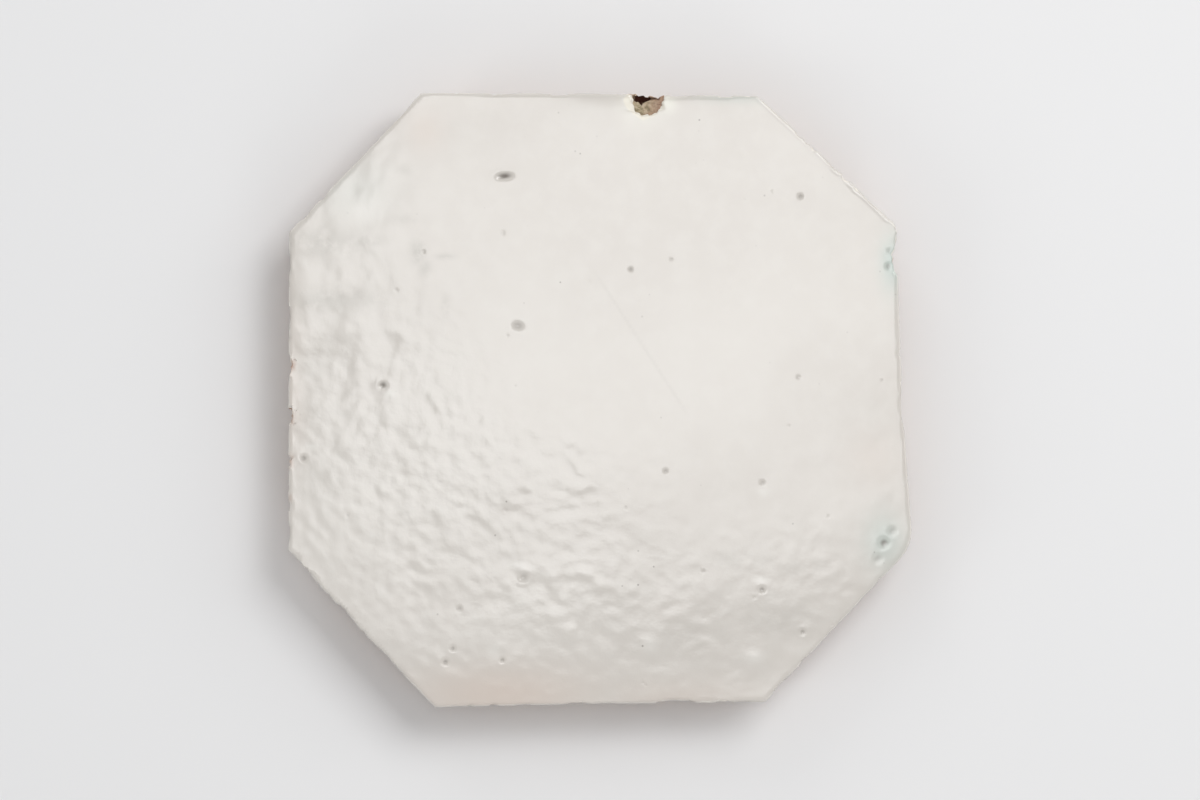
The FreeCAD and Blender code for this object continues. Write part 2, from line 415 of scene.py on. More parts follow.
def pit_relief(look, x, y):
    """The pits' and dents' depth in millimetres, and how dark each point is made: the dark marks of the pits
    and the scratch, and painted shade in the dents.
    """
    depth = np.zeros(len(x))
    stain = np.zeros(len(x))
    for pit_x, pit_y, radius, pit_depth, darkness in all_pits(look):
        near = np.hypot(x - pit_x, y - pit_y) / radius
        depth += pit_depth * hollow(near, 1.5, 1.25, 0.3)
        stain = np.maximum(stain, darkness * smooth_step(0.75, 0.15, near))
    for dent_x, dent_y, half_length, half_width, turn, dent_depth, darkness in DENTS:
        near = dent_distance(x, y, dent_x, dent_y, half_length, half_width, turn)
        depth += dent_depth * hollow(near, 2, 1.2, 0.35)
        # Painted shade in the dent's hollow
        stain = np.maximum(stain, darkness * smooth_step(0.85, 0.05, near))
    scratched = scratch_share(x, y)
    return depth + SCRATCH_DEPTH * scratched, np.maximum(stain, SCRATCH_DARKNESS * scratched)


def scratch_share(x, y):
    """How near each point is to the faint scratch across the face."""
    (start_x, start_y), (end_x, end_y) = SCRATCH
    length = math.hypot(end_x - start_x, end_y - start_y)
    along = ((x - start_x) * (end_x - start_x) + (y - start_y) * (end_y - start_y)) / length
    aside = ((y - start_y) * (end_x - start_x) - (x - start_x) * (end_y - start_y)) / length
    ends = smooth_step(0.0, 6.0, along) * smooth_step(length, length - 6.0, along)
    return ends * smooth_step(0.35, 0.1, np.abs(aside))


def dent_distance(x, y, dent_x, dent_y, half_length, half_width, turn):
    """Distance from a dent's middle, as a share of its size that way."""
    angle = math.radians(turn)
    along = (x - dent_x) * math.cos(angle) + (y - dent_y) * math.sin(angle)
    across = (y - dent_y) * math.cos(angle) - (x - dent_x) * math.sin(angle)
    return np.hypot(along / half_length, across / half_width)


def without_dents(below, x, y):
    """The depth below the face with the CAD's hard-edged dents filled, ready for soft ones."""
    for dent in DENTS:
        near = dent_distance(x, y, *dent[:5])
        below = below * smooth_step(1.4, 1.6, near)
    return below


def patch(x, y, spots):
    """Soft round patches, each with its middle, radius along X and Y and strength."""
    amount = np.zeros(len(x))
    for spot_x, spot_y, radius_x, radius_y, strength in spots:
        away = np.hypot((x - spot_x) / radius_x, (y - spot_y) / radius_y)
        amount = np.maximum(amount, strength * np.exp(-away * away))
    return amount


def clay_relief(look, points):
    """How far the rough clay lies below the clean cut, in millimetres, and where it has pores."""
    depths = np.zeros(len(points))
    pores = np.zeros(len(points))
    for i, (x, y, z) in enumerate(points):
        place = Vector((x, y, z))
        lumps = noise.fractal(place / look.clay_lump, *CLAY_WAVES)
        grit = noise.noise(place / look.clay_grit)
        strokes = noise.noise(Vector((x, y, z * 0.25)) / look.clay_stroke)
        depths[i] = look.clay_depth * (0.5 + 0.5 * lumps)
        depths[i] += look.clay_grit_depth * (0.5 + 0.5 * grit)
        depths[i] += look.clay_stroke_depth * (0.5 + 0.5 * strokes)
        crowd = PORE_CROWDING * noise.noise(place / look.clay_crowd)
        large = noise.noise(Vector((x, y, z * 1.3)) / look.clay_pore) + crowd
        small = noise.noise(place / (SMALL_PORE * look.clay_pore)) + crowd
        pores[i] = max(large, small - SMALL_RARER)
    pores = smooth_step(*PORE_RISE, pores)
    return np.maximum(depths, 0.0) + look.clay_pore_depth * pores, pores


def add_attribute(mesh, name, values):
    """Stores one number for each vertex under a name that the material reads."""
    layer = mesh.attributes.new(name, "FLOAT", "POINT")
    layer.data.foreach_set("value", values.astype(np.float32))


def broken_share(points):
    """How far the glaze is broken away at each point, by the chip and the bites in the lip."""
    x, y, _ = points.T
    share = np.zeros(len(x))
    for break_x, break_y, radius, strength in BREAKS:
        near = np.hypot(x - break_x, y - break_y) / radius
        share = np.maximum(share, strength * smooth_step(1.15, 0.85, near))
    return share


def ragged_rims(look, points):
    """Sideways shifts in millimetres that make the rims of the chip and the bites ragged."""
    shifts = np.zeros((len(points), 3))
    for break_x, break_y, radius, strength in BREAKS:
        near = np.hypot(points[:, 0] - break_x, points[:, 1] - break_y) / radius
        close = np.flatnonzero((near < 1.5) & (points[:, 2] > TILE_HIGH.z / MM - UPPER_DEPTH))
        for i in close:
            place = Vector(points[i]) / look.ragged_length
            push = look.ragged_shift * strength * smooth_step(1.5, 1.0, near[i])
            shifts[i, 0] = push * noise.noise(place)
            shifts[i, 1] = push * noise.noise(place + Vector((7.0, 3.0, 1.0)))
    return shifts


def lip_nicks(look, points):
    """Small flakes lost from the glazed lip, as depths in millimetres."""
    nicks = np.zeros(len(points))
    for i, (x, y, z) in enumerate(points):
        nick = noise.noise(Vector((x, y, z * 0.6)) / look.nick_length)
        nicks[i] = nick + 0.5 * noise.noise(Vector((x, y, z)) / (look.nick_length * 0.4))
    return look.nick_depth * smooth_step(look.nick_start, look.nick_start + 0.35, nicks)


def smoothed_face(mesh, look):
    """The points with the face laid on its form, their normals, their depths below it and which are upper."""
    points = vertex_rows(mesh, "co") / MM
    normals = vertex_rows(mesh, "normal")
    x, y, z = points.T.copy()
    top = TILE_HIGH.z / MM
    upper = z > top - UPPER_DEPTH
    on_face = (normals[:, 2] > 0.999) & upper
    fitted = [values[on_face][::FIT_STEP] for values in (x, y, z)]
    form = FaceForm(*fitted, look.form_degree, FIT_OUTLIER)
    level = np.full(len(z), top)
    level[upper] = form.height(x[upper], y[upper])
    below = level - z
    below[upper] = without_dents(below[upper], x[upper], y[upper])
    points[upper, 2] = (level - below * smooth_step(*LAID_FLAT, below))[upper]
    points += ragged_rims(look, points)
    normals[upper & (below < FLAT_DEPTH)] = (0.0, 0.0, 1.0)
    return points, normals, below, upper


def bare_clay(look, points, normals, rough, from_chip):
    """Depths of the clay where it is rough, calmer in the chip and with the lowest of the bed at none."""
    clay = np.zeros(len(points))
    pores = np.zeros(len(points))
    clay[rough], pores[rough] = clay_relief(look, points[rough])
    away_from_chip = 1.0 - CALMER_IN_CHIP * smooth_step(CHIP_RADIUS + 1.0, CHIP_RADIUS, from_chip)
    clay *= away_from_chip
    bed = normals[:, 2] < -0.9
    clay[bed] -= clay[bed].min()
    return clay, pores * away_from_chip


def worn_lip(look, points, upper, below):
    """Depths of the nicks, which fade out at the flat of the face and below the lip."""
    nick = np.zeros(len(points))
    lip = upper & (below > FLAT_DEPTH) & (below < NICKS_END)
    nick[lip] = lip_nicks(look, points[lip]) * smooth_step(FLAT_DEPTH, 0.15, below[lip])
    nick[lip] *= 1.0 - smooth_step(1.2, NICKS_END, below[lip])
    return nick


def painted_notch_shade(x, y, below, from_chip):
    """How much painted shade the notch in the chip gets, with a painted sliver of shadow along the brink of
    the side.
    """
    notch_x, notch_y, half_width, reach = NOTCH
    from_flank = half_width * (1.0 - (notch_y - y) / reach) - np.abs(x - notch_x)
    soot = smooth_step(-0.06, 0.10, from_flank) * smooth_step(0.9, 1.1, below)
    brink = smooth_step(1.0, 0.9, from_chip / CHIP_RADIUS) * smooth_step(0.7, 0.9, below)
    brink *= smooth_step(notch_y - 1.2, notch_y - 1.0, y)
    return np.maximum(soot, 0.8 * brink)


def chip_halo(below, from_chip):
    """Where the glaze is bruised round the chip."""
    near = smooth_step(CHIP_RADIUS + 0.35, CHIP_RADIUS - 0.1, from_chip)
    return near * smooth_step(0.6, 0.3, below)


def sculpt_tile(piece, look):
    """Gives the even mesh its smooth face, its ripples, pits and rough clay, and stores the masks."""
    mesh = piece.data
    x, y, _ = (vertex_rows(mesh, "co") / MM).T
    points, normals, below, upper = smoothed_face(mesh, look)
    from_chip = np.hypot(x - CHIP_X, y - CHIP_Y)

    broken = broken_share(points)
    bare_from = look.glaze_thickness * (1.0 - 0.6 * broken)
    glazed = 1.0 - smooth_step(bare_from - 0.2, bare_from + 0.1, below)
    depth, stain = pit_relief(look, x, y)
    relief = np.zeros(len(x))
    relief[upper] = face_relief(look, x[upper], y[upper]) - depth[upper] - look.relief_margin
    clay, pores = bare_clay(look, points, normals, glazed < 1.0, from_chip)
    nick = worn_lip(look, points, upper, below)
    moved = relief * glazed - clay * (1.0 - glazed) - nick
    points += normals * moved[:, None]
    points = np.clip(points, np.array(TILE_LOW) / MM, np.array(TILE_HIGH) / MM)
    mesh.vertices.foreach_set("co", (points * MM).ravel())
    mesh.update()

    # The tint masks, with the painted glints among them
    masks = {name: patch(x, y, spots) * smooth_step(*TINTS_END, below) for name, spots in TINTS.items()}
    masks["below_face"] = below
    masks["broken"] = np.maximum(broken, smooth_step(0.04, 0.16, nick))
    # Dark marks of the pits and the scratch, and painted shade in the dents
    masks["stain"] = stain * glazed
    masks["ripple"] = ripple_share(look, x, y)
    masks["pore"] = pores
    # Painted shade in the notch of the chip, and a painted shadow along its brink
    masks["soot"] = painted_notch_shade(x, y, below, from_chip) * (normals[:, 2] > 0.1)
    masks["halo"] = chip_halo(below, from_chip)
    for name, values in masks.items():
        add_attribute(mesh, name, values)


# Thickness of the layer at the bed whose mesh may be thinned, in millimetres
BED_LAYER = 1.2


def coarsen_bed(piece, look):
    """Thins the mesh of the hidden flat bed, where nothing needs a fine one."""
    mesh = piece.data
    heights = vertex_rows(mesh, "co")[:, 2] / MM
    normals = vertex_rows(mesh, "normal")
    bed = piece.vertex_groups.new(name="bed")
    chosen = np.flatnonzero((heights < BED_LAYER) & (normals[:, 2] < -0.8))
    bed.add(chosen.tolist(), 1.0, "REPLACE")
    thin = piece.modifiers.new("Thin bed", "DECIMATE")
    thin.ratio = 1.0 - len(chosen) / len(heights) * look.bed_thinning
    thin.vertex_group = bed.name
    apply_modifiers(piece)
    piece.vertex_groups.clear()
    points = vertex_rows(piece.data, "co")
    points[:, 2] = np.maximum(points[:, 2], 0.0)
    piece.data.vertices.foreach_set("co", points.ravel())
    piece.data.update()


class NodeTable:
    """Adds shader nodes in reading order and joins them by socket."""

    def __init__(self, material):
        material.use_nodes = True
        self.tree = material.node_tree
        self.tree.nodes.clear()
        self.count = 0

    def add(self, kind, label, settings=None, **inputs):
        """A node with its settings and inputs; an input is a value or another node's output."""
        node = self.tree.nodes.new(kind)
        node.label = label
        node.location = (200 * (self.count % 8), -260 * (self.count // 8))
        self.count += 1
        for key, value in (settings or {}).items():
            setattr(node, key, value)
        for key, value in inputs.items():
            self.join(node, key, value)
        return node

    def join(self, node, key, value):
        """Sets an input by its name, or by its number where the name is like _2; a colour is opaque."""
        socket = node.inputs[int(key[1:])] if key.startswith("_") else node.inputs[key.replace("_", " ")]
        if isinstance(value, bpy.types.NodeSocket):
            self.tree.links.new(value, socket)
        elif socket.type == "RGBA":
            socket.default_value = (*value, 1.0)
        else:
            socket.default_value = value

    def noise(self, label, vector, scale, detail=2.0, roughness=0.5):
        """A noise pattern, between 0 and 1."""
        node = self.add(
            "ShaderNodeTexNoise", label, Vector=vector, Scale=scale, Detail=detail, Roughness=roughness
        )
        return node.outputs["Fac"]

    def spread(self, label, value, low, high, to_low=0.0, to_high=1.0):
        """A value stretched from one range to another, softly, and held at its ends."""
        node = self.add(
            "ShaderNodeMapRange", label, {"interpolation_type": "SMOOTHSTEP"},
            Value=value, From_Min=low, From_Max=high, To_Min=to_low, To_Max=to_high,
        )
        return node.outputs["Result"]

    def math(self, label, operation, first, second):
        """Plain arithmetic on two values."""
        node = self.add("ShaderNodeMath", label, {"operation": operation}, _0=first, _1=second)
        return node.outputs[0]

    def blend(self, label, share, first, second):
        """Two colours mixed by a share."""
        node = self.add("ShaderNodeMix", label, {"data_type": "RGBA"}, _0=share, _6=first, _7=second)
        return node.outputs[2]

    def lerp(self, label, share, first, second):
        """Two values mixed by a share."""
        node = self.add("ShaderNodeMix", label, {"data_type": "FLOAT"}, _0=share, _2=first, _3=second)
        return node.outputs[0]

    def attribute(self, name):
        """One number for each vertex, stored on the mesh."""
        node = self.add("ShaderNodeAttribute", name, {"attribute_name": name})
        return node.outputs["Fac"]

    def surface(self, **inputs):
        """The surface's shader with these inputs, joined to the material's output."""
        shader = self.add("ShaderNodeBsdfPrincipled", "Surface", **inputs)
        self.add("ShaderNodeOutputMaterial", "Output", Surface=shader.outputs["BSDF"])


def glaze_edge(table, place, look, below):
    """How far a point lies below the glaze's wavy line, and its shares of bare clay and of cut glaze."""
    broken = table.attribute("broken")
    wander = table.noise("Glaze line", place, 420.0, 3.0)
    thickness = look.glaze_thickness
    whole_line = table.spread("Line of whole glaze", wander, 0.2, 0.8, thickness - 0.22, thickness + 0.28)
    chip_line = table.spread("Line of broken glaze", wander, 0.2, 0.8, 0.22, 0.60)
    glaze_line = table.lerp("Glaze line height", broken, whole_line, chip_line)
    line_gap = table.math("Below the line", "SUBTRACT", below, glaze_line)
    clay_share = table.spread("Clay share", line_gap, -0.05, 0.05)
    cut_share = table.spread("Cut glaze", line_gap, -0.30, -0.18)
    torn = table.math("Torn glaze", "MULTIPLY", broken, table.spread("Below the face", below, 0.03, 0.09))
    cut_share = table.math("Cut or torn glaze", "MAXIMUM", cut_share, torn)
    return line_gap, clay_share, cut_share


def glaze_colours(table, place, look, below, cut_share):
    """The off-white glaze with its clouds, tints, smudges and specks, painted glints, a paler lip with a
    painted highlight, dark pits and painted shade in the dents.
    """
    clouds = table.noise("Clouds", place, 26.0, 4.0, 0.55)
    mottle = table.noise("Mottle", place, 260.0, 3.0, 0.6)
    cloudy = table.spread("Cloud share", clouds, 0.35, 0.65)
    glaze = table.blend("Milky clouds", cloudy, look.glaze_colour, look.glaze_shade)
    mottled = table.spread("Mottle share", mottle, 0.35, 0.75, 0.0, 0.5)
    glaze = table.blend("Fine mottle", mottled, glaze, look.glaze_mottle)
    # Teal, blush and cream tint the glaze; the glints are painted highlights
    for name in ("teal", "blush", "cream", "milk"):
        glaze = table.blend(name.capitalize(), table.attribute(name), glaze, getattr(look, name))
    streaks = table.noise("Smudged", place, 330.0, 4.0, 0.6)
    streaks = table.spread("Smudge share", streaks, 0.30, 0.56)
    smudge = table.math("Smudges", "MULTIPLY", table.attribute("smudge"), streaks)
    glaze = table.blend("Grey smudges in the glaze", smudge, glaze, look.smudge_colour)
    # Paler lip: thicker glaze, and a painted highlight in place of the lip's reflection
    thick_and_lit = table.spread("Thick glaze and painted highlight at the lip", below, 0.015, 0.14, 0.0, 0.85)
    glaze = table.blend("Pale glaze and painted highlight at the lip", thick_and_lit, glaze, look.lip_colour_and_highlight)
    specks = table.add("ShaderNodeTexVoronoi", "Specks", Vector=place, Scale=420.0, Randomness=1.0)
    speck = table.spread("Speck share", specks.outputs["Distance"], 0.10, 0.03, 0.0, 0.6)
    patchy = table.spread("Where specks lie", table.noise("Speck patches", place, 90.0), 0.55, 0.7)
    pooled = table.math("Specks in the pools", "MULTIPLY", table.attribute("teal"), 1.4)
    patchy = table.math("Where specks gather", "MAXIMUM", patchy, pooled)
    speck = table.math("Sparse specks", "MULTIPLY", speck, patchy)
    glaze = table.blend("Bruised round the chip", table.attribute("halo"), glaze, look.halo_colour)
    glaze = table.blend("Specks", speck, glaze, look.speck_colour)
    # Dark pit middles and scratch, and painted shade in the dents
    glaze = table.blend("Pits", table.attribute("stain"), glaze, look.speck_colour)
    glaze = table.blend("White cut of the glaze", cut_share, glaze, look.cut_colour)
    return table.blend("Worn marks in the lip", table.attribute("worn"), glaze, look.under_colour)


def clay_colours(table, place, look, line_gap, grain):
    """The bare clay with its clouds, grain, grit and pores, olive and crumbly in the chip, with painted shade
    in the chip's notch and along its brink.
    """
    lumps = table.noise("Clay lumps", place, 160.0, 5.0, 0.65)
    lumpy = table.spread("Clay cloud", lumps, 0.35, 0.7)
    clay = table.blend("Clay", lumpy, look.clay_colour, look.clay_shade)
    grainy = table.spread("Grain share", grain, 0.4, 0.75, 0.0, 0.6)
    clay = table.blend("Grain", grainy, clay, look.clay_grain)
    gritty = table.spread("Grit", table.noise("Grit grains", place, 900.0, 2.0), 0.63, 0.70, 0.0, 0.75)
    clay = table.blend("Dark grit", gritty, clay, look.grit_colour)
    porous = table.math("Pore share", "MULTIPLY", table.attribute("pore"), 0.6)
    clay = table.blend("Dark pores", porous, clay, look.grit_colour)
    chipped = table.attribute("olive")
    crumbs = table.noise("Crumbs", place, 1500.0, 3.0, 0.6)
    pale = table.math("Pale crumbs", "MULTIPLY", chipped, table.spread("Pale", crumbs, 0.52, 0.64, 0.0, 0.45))
    olive = table.math("Olive share", "MULTIPLY", chipped, 0.95)
    clay = table.blend("Olive", olive, clay, look.olive)
    clay = table.blend("Pale crumbs of clay", pale, clay, look.clay_grain)
    dark = table.math("Dark crumbs", "MULTIPLY", chipped, table.spread("Dark", crumbs, 0.50, 0.41, 0.0, 0.8))
    clay = table.blend("Dark crumbs of clay", dark, clay, look.crumb_colour)
    under = table.spread("Just under the glaze", line_gap, 0.05, 0.9, 0.55, 0.0)
    whole = table.math("Whole", "SUBTRACT", 1.0, chipped)
    under = table.math("But not in the chip", "MULTIPLY", under, whole)
    clay = table.blend("Darker under the glaze", under, clay, look.under_colour)
    # Painted shade in the notch of the chip and a painted shadow along its brink
    return table.blend("Painted notch shade", table.attribute("soot"), clay, look.soot_colour)


def glazed_clay_material(look):
    """One material for the fired piece: glossy glaze on the face and bare rough clay where it was cut."""
    material = bpy.data.materials.new("glazed_clay")
    table = NodeTable(material)
    place = table.add("ShaderNodeTexCoord", "Place").outputs["Object"]
    below = table.attribute("below_face")
    line_gap, clay_share, cut_share = glaze_edge(table, place, look, below)
    grain = table.noise("Clay grain", place, 900.0, 4.0, 0.7)
    glaze = glaze_colours(table, place, look, below, cut_share)
    clay = clay_colours(table, place, look, line_gap, grain)
    base = table.blend("Glaze or clay", clay_share, glaze, clay)

    smear = table.noise("Smears", place, 60.0, 3.0)
    gloss = table.spread("Gloss", smear, 0.35, 0.75, look.gloss_low, look.gloss_high)
    gloss = table.lerp("Cut is duller", cut_share, gloss, 0.35)
    roughness = table.lerp("Roughness", clay_share, gloss, 0.92)

    peel = table.noise("Orange peel", place, 700.0, 3.0, 0.55)
    peel = table.math("Peel where rippled", "MULTIPLY", peel, table.attribute("ripple"))
    peel = table.math("Peel depth", "MULTIPLY", peel, look.peel_bump)
    clay_rough = table.math("Clay depth", "MULTIPLY", grain, look.clay_bump)
    height = table.lerp("Relief", clay_share, peel, clay_rough)
    bump = table.add("ShaderNodeBump", "Fine relief", Height=height, Distance=1.0, Strength=1.0)
    normal = bump.outputs["Normal"]
    sheen = table.lerp("No sheen in the notch", table.attribute("soot"), 0.5, 0.0)
    table.surface(Base_Color=base, Roughness=roughness, Normal=normal, IOR=1.5, Specular_IOR_Level=sheen)
    return material


class TileLook(bpy.types.PropertyGroup):
    """Relief of the dressed tile, in millimetres unless it says otherwise, and its colours."""

    voxel: FloatProperty(name="Mesh size", description="Size of the even mesh", default=0.43, min=0.2)
    form_degree: IntProperty(name="Form degree", description="Degree of the face's fitted form", default=12)
    bed_thinning: FloatProperty(
        name="Bed thinning", description="Share of the bed's mesh removed", default=0.95)
    pillow_length: FloatProperty(name="Pillow length", description="Length of the soft swells", default=11.0)
    pillow_height: FloatProperty(name="Pillow height", description="Height of the soft swells", default=0.018)
    dapple_length: FloatProperty(name="Dapple length", description="Swells in the upper left", default=4.6)
    dapple_height: FloatProperty(name="Dapple height", description="Height of these swells", default=0.07)
    ripple_x: FloatProperty(name="Ripple X", description="Middle of the ripples' arcs", default=18.0)
    ripple_y: FloatProperty(name="Ripple Y", description="Middle of the ripples' arcs", default=40.0)
    ripple_reach: FloatProperty(name="Ripple reach", description="Radius of the strongest arc", default=64.0)
    ripple_length: FloatProperty(name="Ripple length", description="Length of a ripple", default=3.1)
    ripple_width: FloatProperty(name="Ripple width", description="Width of a ripple", default=2.2)
    ripple_height: FloatProperty(name="Ripple height", description="Height of a ripple", default=0.029)
    bend_length: FloatProperty(name="Bend length", description="Over which the ripples wander", default=5.0)
    bend: FloatProperty(name="Bend", description="How far the ripples wander, in ripples", default=0.5)
    patch_length: FloatProperty(name="Patch", description="Length of calm and busy patches", default=6.5)
    peel_length: FloatProperty(name="Peel length", description="Size of the orange peel", default=1.7)
    peel_height: FloatProperty(name="Peel height", description="Height of the orange peel", default=0.023)
    relief_margin: FloatProperty(name="Relief margin", description="Keeps the relief inside", default=0.05)
    pinhole_count: IntProperty(name="Pinholes", description="Pinholes over the face", default=22)
    pinhole_seed: IntProperty(name="Pinhole seed", description="Where the pinholes fall", default=5)
    ragged_length: FloatProperty(name="Ragged length", description="Length of a rim's wobble", default=0.9)
    ragged_shift: FloatProperty(name="Ragged shift", description="Size of a rim's wobble", default=0.55)
    nick_length: FloatProperty(name="Nick length", description="Length of a nick in the lip", default=2.2)
    nick_depth: FloatProperty(name="Nick depth", description="Depth of a nick in the lip", default=0.27)
    nick_start: FloatProperty(name="Nick start", description="Higher leaves fewer nicks", default=0.28)
    clay_lump: FloatProperty(name="Clay lump", description="Size of the clay's lumps", default=2.6)
    clay_depth: FloatProperty(name="Clay depth", description="Depth of the clay's lumps", default=0.26)
    clay_grit: FloatProperty(name="Clay grit", description="Size of the clay's grit", default=0.9)
    clay_grit_depth: FloatProperty(name="Grit depth", description="Depth of the clay's grit", default=0.11)
    clay_stroke: FloatProperty(name="Stroke", description="Width of the trimming strokes", default=1.7)
    clay_stroke_depth: FloatProperty(name="Stroke depth", description="Depth of the strokes", default=0.22)
    clay_pore: FloatProperty(name="Pore", description="Distance between pores", default=1.5)
    clay_crowd: FloatProperty(name="Pore crowd", description="Distance between crowds of pores", default=6.0)
    clay_pore_depth: FloatProperty(name="Pore depth", description="Depth of the pores", default=0.32)
    glaze_thickness: FloatProperty(name="Glaze", description="Thickness of the glaze", default=0.7)
    peel_bump: FloatProperty(name="Peel bump", description="Finest peel, metres", default=0.000022)
    clay_bump: FloatProperty(name="Clay bump", description="Finest clay grain, metres", default=0.00012)
    gloss_low: FloatProperty(name="Gloss", description="Roughness of the clear glaze", default=0.075)
    gloss_high: FloatProperty(name="Smear", description="Roughness of the smeared glaze", default=0.11)
    glaze_colour: FloatVectorProperty(
        name="Glaze", description="Off-white glaze", subtype="COLOR", default=(0.630, 0.598, 0.556))
    glaze_shade: FloatVectorProperty(
        name="Glaze shade", description="Greyer clouds", subtype="COLOR", default=(0.605, 0.570, 0.528))
    glaze_mottle: FloatVectorProperty(
        name="Glaze mottle", description="Paler mottle", subtype="COLOR", default=(0.645, 0.616, 0.575))
    teal: FloatVectorProperty(
        name="Teal", description="Pooled glaze at the corners", subtype="COLOR", default=(0.50, 0.56, 0.52))
    blush: FloatVectorProperty(
        name="Blush", description="Pinkish clay through thin glaze", subtype="COLOR",
        default=(0.61, 0.525, 0.465))
    cream: FloatVectorProperty(
        name="Cream", description="Pale glaze round the chip", subtype="COLOR", default=(0.80, 0.79, 0.70))
    # Paler lip colour: thicker glaze and a painted highlight
    lip_colour_and_highlight: FloatVectorProperty(
        name="Lip", description="Thicker, paler glaze and a painted highlight over the lip", subtype="COLOR",
        default=(0.74, 0.71, 0.665))
    halo_colour: FloatVectorProperty(
        name="Halo", description="Bruised glaze round the chip", subtype="COLOR", default=(0.72, 0.68, 0.585))
    smudge_colour: FloatVectorProperty(
        name="Smudge", description="Grey smudges in the glaze", subtype="COLOR", default=(0.50, 0.475, 0.435))
    # Colour of the painted glints
    milk: FloatVectorProperty(
        name="Milk", description="Painted glints round pits and swellings", subtype="COLOR", default=(0.74, 0.72, 0.68))
    cut_colour: FloatVectorProperty(
        name="Cut glaze", description="White cut of the glaze", subtype="COLOR", default=(0.80, 0.765, 0.69))
    # Also the colour of the painted shade in the dents
    speck_colour: FloatVectorProperty(
        name="Specks", description="Pits and specks", subtype="COLOR", default=(0.165, 0.145, 0.125))
    clay_colour: FloatVectorProperty(
        name="Clay", description="Fired clay", subtype="COLOR", default=(0.50, 0.355, 0.255))
    clay_shade: FloatVectorProperty(
        name="Clay shade", description="Redder clay", subtype="COLOR", default=(0.36, 0.205, 0.13))
    clay_grain: FloatVectorProperty(
        name="Clay grain", description="Pale dust on the clay", subtype="COLOR",
        default=(0.68, 0.56, 0.45))
    grit_colour: FloatVectorProperty(
        name="Grit", description="Dark grit in the clay", subtype="COLOR", default=(0.20, 0.12, 0.08))
    olive: FloatVectorProperty(
        name="Olive", description="Olive grey clay in the chip", subtype="COLOR",
        default=(0.345, 0.295, 0.19))
    crumb_colour: FloatVectorProperty(
        name="Crumbs", description="Dark crumbs in the chip", subtype="COLOR", default=(0.15, 0.125, 0.07))
    under_colour: FloatVectorProperty(
        name="Under the glaze", description="Redder line under the glaze", subtype="COLOR",
        default=(0.36, 0.215, 0.15))
    # Colour of the painted shade in the chip's notch
    soot_colour: FloatVectorProperty(
        name="Painted notch shade", description="Painted shade in the notch of the chip", subtype="COLOR", default=(0.03, 0.012, 0.008))


class StudioLook(bpy.types.PropertyGroup):
    """The plain studio: floor, lamps and camera."""

    floor_size: FloatProperty(name="Floor", description="Width of the floor", unit="LENGTH", default=8.0)
    floor_colour: FloatVectorProperty(
        name="Floor colour", description="Pale floor", subtype="COLOR", default=(0.815, 0.815, 0.82))
    sky: FloatProperty(name="Sky", description="Strength of the even light", default=0.42)
    backdrop: FloatProperty(name="Backdrop", description="Brightness of the backdrop", default=0.80)
    camera_height: FloatProperty(
        name="Camera height", description="Above the face", unit="LENGTH", default=1.0)
    frame_share: FloatProperty(
        name="Frame share", description="Tile's share of the picture's height", default=0.77)
    box_height: FloatProperty(
        name="Softbox height", description="Above the floor", unit="LENGTH", default=1.2)
    box_x: FloatProperty(name="Softbox X", description="Its middle", unit="LENGTH", default=0.0116)
    box_y: FloatProperty(name="Softbox Y", description="Its middle", unit="LENGTH", default=0.0632)
    box_radius: FloatProperty(
        name="Softbox radius", description="Radius of the round softbox", unit="LENGTH", default=0.135)
    box_radiance: FloatProperty(name="Softbox radiance", description="Brightness of its middle", default=4.6)
    key_power: FloatProperty(name="Key power", description="Watts of the large side lamp", default=4.7)
    key_size: FloatProperty(name="Key size", description="Width of the side lamp", unit="LENGTH", default=0.5)
    window_power: FloatProperty(name="Window power", description="Watts of each low lamp", default=3.6)
    window_away: FloatProperty(
        name="Window distance", description="From the tile", unit="LENGTH", default=1.7)


# How far the finer mesh reaches round pits, dents and breaks, in their own radii
FINE_ROUND_PITS = 1.7
FINE_ROUND_DENTS = 1.5
FINE_ROUND_BREAKS = 1.3
FINEST_ROUND_CHIP = 1.2


class TILE_OT_glazed_tile(bpy.types.Operator):
    """Make the dressed tile from the CAD solid"""

    bl_idname = "tile.glazed_tile"
    bl_label = "Glazed Tile"

    def execute(self, context):
        look = context.scene.tile_look
        piece = remeshed("octagon_tile_glazed", merged_copy(NODE), look.voxel * MM)
        circles = [(x, y, FINE_ROUND_PITS * radius) for x, y, radius, _, _ in all_pits(look)]
        circles += [(dent[0], dent[1], FINE_ROUND_DENTS * dent[2]) for dent in DENTS]
        circles += [(x, y, FINE_ROUND_BREAKS * radius) for x, y, radius, _ in BREAKS]
        refine(piece.data, circles)
        refine(piece.data, [(CHIP_X, CHIP_Y, FINEST_ROUND_CHIP * CHIP_RADIUS)])
        snapped(piece, merged_copy(NODE))
        sculpt_tile(piece, look)
        coarsen_bed(piece, look)
        piece.data.shade_smooth()
        piece.data.materials.append(glazed_clay_material(look))
        piece.data.name = piece.name
        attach(piece, "root")
        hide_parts(NODE)
        return {"FINISHED"}


def floor_material(look):
    """A plain matt floor."""
    material = bpy.data.materials.new("floor")
    table = NodeTable(material)
    place = table.add("ShaderNodeTexCoord", "Place").outputs["Object"]
    dust = table.noise("Faint unevenness", place, 9.0, 3.0)
    shade = [0.985 * part for part in look.floor_colour]
    base = table.blend("Floor", dust, look.floor_colour, shade)
    table.surface(Base_Color=base, Roughness=0.85, Specular_IOR_Level=0.2)
    return material


